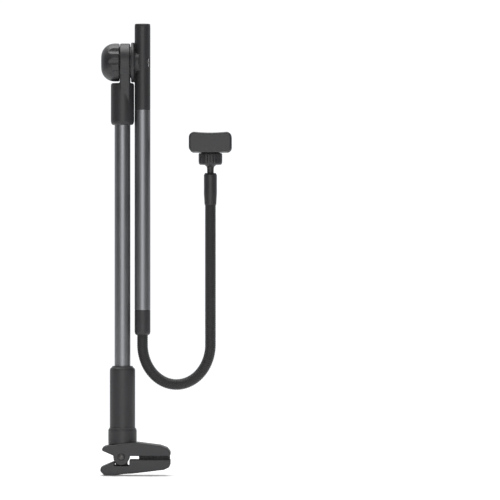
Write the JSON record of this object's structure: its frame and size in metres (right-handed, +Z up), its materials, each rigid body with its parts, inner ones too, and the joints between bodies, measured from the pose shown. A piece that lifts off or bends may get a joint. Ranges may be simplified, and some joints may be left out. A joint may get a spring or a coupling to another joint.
{
  "type": "folding phone holder arm",
  "caption": "Clip-on phone holder: a spring clip carries a swivelling post, a folding upper arm, a bendable gooseneck and a ball-jointed spring clamp.",
  "frame": {"origin": "middle of the upper jaw pad's gripping face, on the table top", "axes": "+Z up along the post, +X out of the clip's mouth, +Y to the back, where the lock knob is"},
  "size_m": [0.1574, 0.072, 0.5414],
  "materials": {
    "black_plastic": "fine satin texture",
    "tube_metal": "dark grey anodised",
    "gooseneck": "matt black ribbed sleeve over a metal core",
    "gooseneck_sleeve": "ribbed, matt",
    "grip_rubber": "matt",
    "steel": "zinc plated",
    "brass": "turned",
    "nylon": "smooth"
  },
  "bodies": {
    "clip_base": {"clip_upper_half": "black_plastic", "upper_jaw_pad": "grip_rubber", "clip_pin": "steel", "pin_retainer": "steel", "torsion_spring": "steel", "post_socket": "black_plastic", "socket_screws": "steel", "post_bush": "nylon", "lock_insert": "brass", "lock_shoe": "nylon"},
    "clip_jaw": {"clip_lower_half": "black_plastic", "lower_jaw_pad": "grip_rubber"},
    "lock_knob": {"swivel_knob": "black_plastic", "swivel_stud": "steel"},
    "lower_arm": {"lower_tube": "tube_metal", "tube_foot_plug": "black_plastic", "elbow_housing": "black_plastic", "housing_screw": "steel", "knob_washer": "nylon", "friction_washer": "nylon"},
    "fold_knob": {"elbow_knob": "black_plastic", "knob_nut": "steel"},
    "upper_arm": {"hinge_bar": "black_plastic", "bar_end_cap": "black_plastic", "elbow_bolt": "steel", "bolt_cap": "black_plastic", "upper_tube": "tube_metal", "tube_screws": "steel", "root_ferrule": "black_plastic", "gooseneck_link_01": "gooseneck"},
    "neck_02": {"gooseneck_link_02": "gooseneck"},
    "neck_03": {"gooseneck_link_03": "gooseneck"},
    "neck_04": {"gooseneck_link_04": "gooseneck"},
    "neck_05": {"gooseneck_link_05": "gooseneck"},
    "neck_06": {"gooseneck_link_06": "gooseneck"},
    "neck_tip": {"gooseneck_link_07": "gooseneck", "end_ferrule": "black_plastic"},
    "ball_stem": {"ball_stud": "black_plastic"},
    "ball_cup": {"ball_socket": "black_plastic"},
    "cup_nut": {"ball_nut": "black_plastic"},
    "phone_clamp": {"holder_back": "black_plastic", "cover_screws": "steel", "holder_body": "black_plastic", "fixed_jaw_pad": "grip_rubber", "rest_pad": "grip_rubber", "anchor_pins": "steel", "clamp_spring_left": "steel", "clamp_spring_right": "steel"},
    "clamp_jaw": {"jaw_slide": "black_plastic", "moving_jaw_pad": "grip_rubber"}
  },
  "joints": [
    {"name": "clip_jaw_hinge", "type": "hinge", "parent": "clip_base", "child": "clip_jaw", "pos_m": [-0.039, 0, 0.001], "axis": [0, 1, 0], "range_deg": [0, 36], "stiffness_Nm_per_rad": 2, "springref_deg": -11.46, "deforming": ["torsion_spring"]},
    {"name": "post_swivel", "type": "hinge", "parent": "clip_base", "child": "lower_arm", "pos_m": [-0.038, 0, 0.1082], "axis": [0, 0, 1], "continuous": true},
    {"name": "lock_knob_turn", "type": "hinge", "parent": "clip_base", "child": "lock_knob", "pos_m": [-0.038, 0.0185, 0.051], "axis": [0, 1, 0], "range_deg": [0, 360]},
    {"name": "elbow_fold", "type": "hinge", "parent": "lower_arm", "child": "upper_arm", "pos_m": [-0.0277, 0, 0.4738], "axis": [1, 0, 0], "range_deg": [-180, 180]},
    {"name": "elbow_knob_turn", "type": "hinge", "parent": "lower_arm", "child": "fold_knob", "pos_m": [-0.0416, 0, 0.4738], "axis": [1, 0, 0], "range_deg": [-360, 0]},
    {"name": "neck_bend_01", "type": "hinge", "parent": "upper_arm", "child": "neck_02", "pos_m": [-0.0113, 0, 0.11823], "axis": [0, 1, 0], "range_deg": [-1.8, 28]},
    {"name": "neck_bend_02", "type": "hinge", "parent": "neck_02", "child": "neck_03", "pos_m": [0.01, 0, 0.09164], "axis": [0, 1, 0], "range_deg": [-1.8, 28]},
    {"name": "neck_bend_03", "type": "hinge", "parent": "neck_03", "child": "neck_04", "pos_m": [0.0435, 0, 0.09164], "axis": [0, 1, 0], "range_deg": [-1.8, 28]},
    {"name": "neck_bend_04", "type": "hinge", "parent": "neck_04", "child": "neck_05", "pos_m": [0.0648, 0, 0.11823], "axis": [0, 1, 0], "range_deg": [-1.8, 28]},
    {"name": "neck_sway_01", "type": "hinge", "parent": "neck_05", "child": "neck_06", "pos_m": [0.0675, 0, 0.172], "axis": [1, 0, 0], "range_deg": [-30, 30]},
    {"name": "neck_sway_02", "type": "hinge", "parent": "neck_06", "child": "neck_tip", "pos_m": [0.0675, 0, 0.236], "axis": [1, 0, 0], "range_deg": [-30, 30]},
    {"name": "ball_spin", "type": "hinge", "parent": "neck_tip", "child": "ball_stem", "pos_m": [0.0675, 0, 0.356], "axis": [0, 0, 1], "continuous": true},
    {"name": "ball_tilt", "type": "hinge", "parent": "ball_stem", "child": "ball_cup", "pos_m": [0.0675, 0, 0.356], "axis": [1, 0, 0], "range_deg": [-30, 30]},
    {"name": "clamp_turn", "type": "hinge", "parent": "ball_cup", "child": "phone_clamp", "pos_m": [0.0675, 0, 0.3658], "axis": [0, 0, 1], "continuous": true},
    {"name": "ball_nut_turn", "type": "hinge", "parent": "ball_cup", "child": "cup_nut", "pos_m": [0.0675, 0, 0.351], "axis": [0, 0, 1], "range_deg": [-360, 0]},
    {"name": "clamp_jaw_slide", "type": "slide", "parent": "phone_clamp", "child": "clamp_jaw", "axis": [0, 1, 0], "range_m": [0, 0.034], "stiffness_N_per_m": 300, "springref_m": -0.02, "deforming": ["clamp_spring_left", "clamp_spring_right"]}
  ]
}
